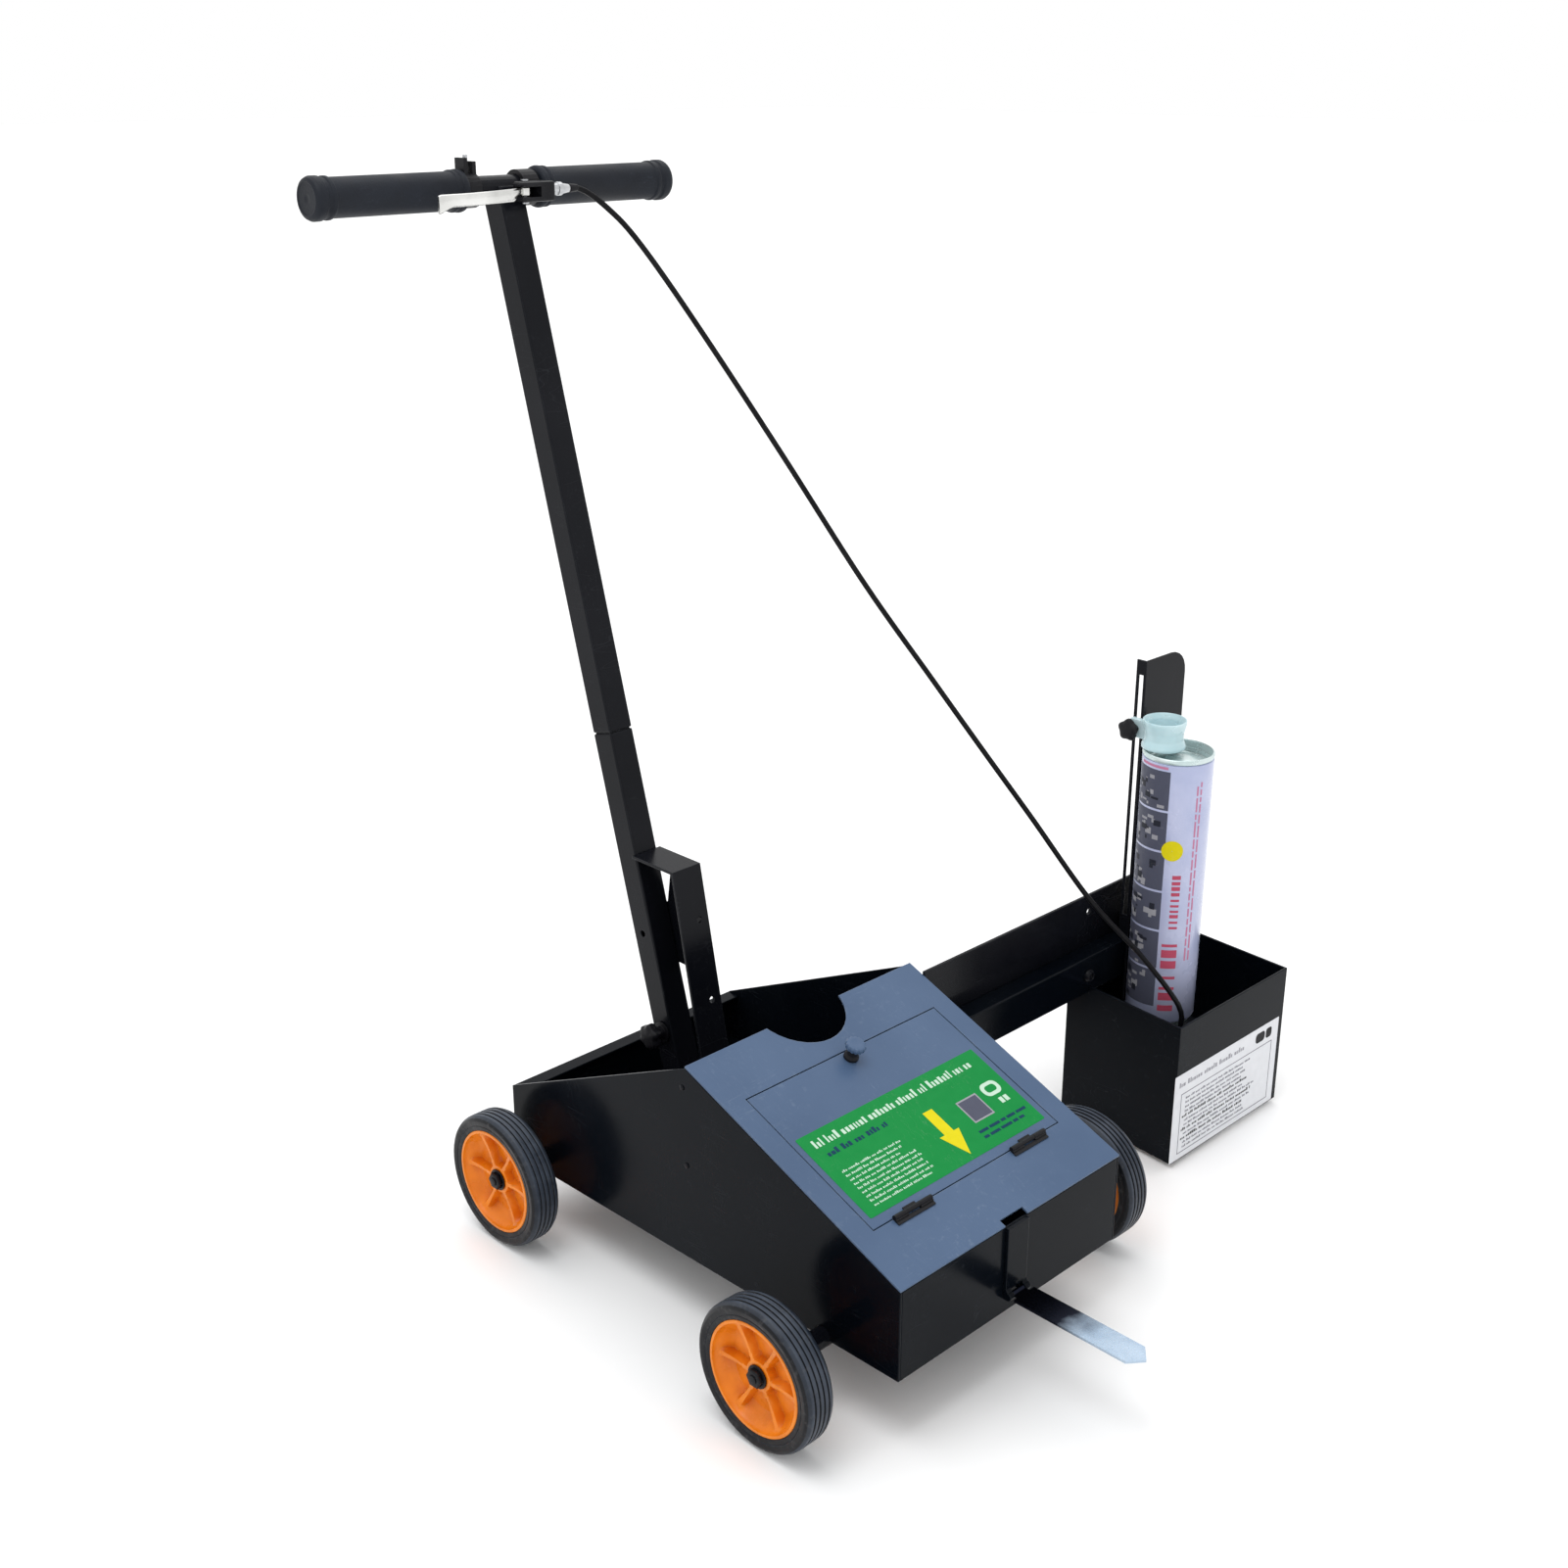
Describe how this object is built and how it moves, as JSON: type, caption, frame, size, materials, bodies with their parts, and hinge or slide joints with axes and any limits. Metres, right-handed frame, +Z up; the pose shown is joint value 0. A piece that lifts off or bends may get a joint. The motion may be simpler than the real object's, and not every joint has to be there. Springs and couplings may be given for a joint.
{
  "type": "line striping machine",
  "caption": "Walk-behind line striping machine with a black sheet-metal body, orange-hubbed wheels and an inverted spray can on a side arm.",
  "frame": {"origin": "on the ground under the middle of the bounding box, with the wheels standing on z = 0", "axes": "+Z up; +Y rearward, from the pointer to the handlebar; +X to the machine's left, where the arm and the spray can are"},
  "size_m": [0.7386, 0.7398, 0.9073],
  "materials": {
    "gloss_black": "gloss black powder coat",
    "lid_grey": "blue-grey gloss paint",
    "rubber": "matt black rubber",
    "orange_plastic": "satin orange moulding",
    "black_plastic": "satin black moulding",
    "foam": "matt black foam",
    "steel": "bright zinc",
    "can_paint": "gloss printed can",
    "white_plastic": "translucent pale moulding",
    "cable_black": "black cable sheath"
  },
  "bodies": {
    "chassis": {"side_panel_right": "gloss_black", "side_panel_left": "gloss_black", "front_panel": "gloss_black", "rear_panel": "gloss_black", "floor_plate": "gloss_black", "can_well": "gloss_black", "lid_panel": "lid_grey", "hinge_lid_leaf_right": "black_plastic", "hinge_lid_leaf_left": "black_plastic", "pointer_strap": "gloss_black", "axle_front": "gloss_black", "axle_rear": "gloss_black", "arm_bracket": "gloss_black", "arm_tube": "gloss_black", "arm_bolt_front": "steel", "arm_bolt_rear": "steel", "post_bolt": "gloss_black", "guard_bolt": "gloss_black", "spray_guard": "gloss_black", "can_post": "gloss_black", "can_shelf": "gloss_black", "spray_can": "can_paint", "column_lower": "gloss_black", "column_upper": "gloss_black", "handle_bracket": "gloss_black", "column_bolt": "steel", "foot_bolt": "black_plastic", "handlebar": "gloss_black", "grip_right": "foam", "grip_left": "foam", "lever_housing": "black_plastic", "lever_pin": "steel", "cable_adjuster": "steel", "bar_clamp": "black_plastic", "clamp_screw": "steel", "cable_ferrule": "steel", "brake_cable": "cable_black"},
    "wheel_front_right": {"tyre_front_right": "rubber", "hub_front_right": "orange_plastic", "hub_cap_front_right": "black_plastic"},
    "wheel_front_left": {"tyre_front_left": "rubber", "hub_front_left": "orange_plastic", "hub_cap_front_left": "black_plastic"},
    "wheel_rear_right": {"tyre_rear_right": "rubber", "hub_rear_right": "orange_plastic", "hub_cap_rear_right": "black_plastic"},
    "wheel_rear_left": {"tyre_rear_left": "rubber", "hub_rear_left": "orange_plastic", "hub_cap_rear_left": "black_plastic"},
    "door": {"access_door": "lid_grey", "hinge_door_leaf_right": "black_plastic", "hinge_door_leaf_left": "black_plastic"},
    "latch": {"latch_knob": "black_plastic"},
    "folding_pointer": {"pointer": "steel"},
    "lever": {"brake_lever": "steel"},
    "actuator": {"actuator_lever": "steel"},
    "wire": {"pull_wire": "steel"},
    "nozzle": {"spray_nozzle": "white_plastic"},
    "can_holder": {"can_pad": "white_plastic"},
    "holder_knob": {"clamp_knob": "black_plastic"}
  },
  "joints": [
    {"name": "wheel_front_right_spin", "type": "hinge", "parent": "chassis", "child": "wheel_front_right", "pos_m": [-0.3548, -0.16471, 0.061], "axis": [1, 0, 0], "continuous": true},
    {"name": "wheel_front_left_spin", "type": "hinge", "parent": "chassis", "child": "wheel_front_left", "pos_m": [0.0354, -0.16471, 0.061], "axis": [1, 0, 0], "continuous": true},
    {"name": "wheel_rear_right_spin", "type": "hinge", "parent": "chassis", "child": "wheel_rear_right", "pos_m": [-0.3305, 0.18939, 0.061], "axis": [1, 0, 0], "continuous": true},
    {"name": "wheel_rear_left_spin", "type": "hinge", "parent": "chassis", "child": "wheel_rear_left", "pos_m": [0.0111, 0.18939, 0.061], "axis": [1, 0, 0], "continuous": true},
    {"name": "door_open", "type": "hinge", "parent": "chassis", "child": "door", "pos_m": [-0.1597, -0.19756, 0.16276], "axis": [1, 0, 0], "range_deg": [0, 105]},
    {"name": "latch_turn", "type": "hinge", "parent": "door", "child": "latch", "pos_m": [-0.1597, -0.06525, 0.21299], "axis": [0, -0.3707, 0.9288], "range_deg": [0, 90]},
    {"name": "pointer_fold", "type": "hinge", "parent": "chassis", "child": "folding_pointer", "pos_m": [-0.1597, -0.24791, 0.078], "axis": [-1, 0, 0], "range_deg": [0, 90]},
    {"name": "lever_squeeze", "type": "hinge", "parent": "chassis", "child": "lever", "pos_m": [-0.1537, 0.32891, 0.877], "axis": [0, 0, -1], "range_deg": [0, 12], "stiffness_Nm_per_rad": 1.5, "springref_deg": -5.73},
    {"name": "actuator_press", "type": "hinge", "parent": "chassis", "child": "actuator", "pos_m": [0.2547, -0.06211, 0.0735], "axis": [-1, 0, 0], "range_deg": [0, 3.6]},
    {"name": "wire_pull", "type": "slide", "parent": "chassis", "child": "wire", "axis": [0, 0, 1], "range_m": [0, 0.0045]},
    {"name": "nozzle_press", "type": "slide", "parent": "chassis", "child": "nozzle", "axis": [0, 0, 1], "range_m": [0, 0.0016]},
    {"name": "holder_slide", "type": "slide", "parent": "chassis", "child": "can_holder", "axis": [0, 0, 1], "range_m": [0, 0.04]},
    {"name": "holder_knob_turn", "type": "hinge", "parent": "can_holder", "child": "holder_knob", "pos_m": [0.2469, -0.04466, 0.398], "axis": [1, 0, 0], "continuous": true}
  ],
  "couplings": [
    {"joint": "actuator_press", "follows": "lever_squeeze", "ratio": 0.26623},
    {"joint": "wire_pull", "follows": "lever_squeeze", "m_per_rad": 0.0205},
    {"joint": "nozzle_press", "follows": "lever_squeeze", "m_per_rad": 0.006549}
  ]
}
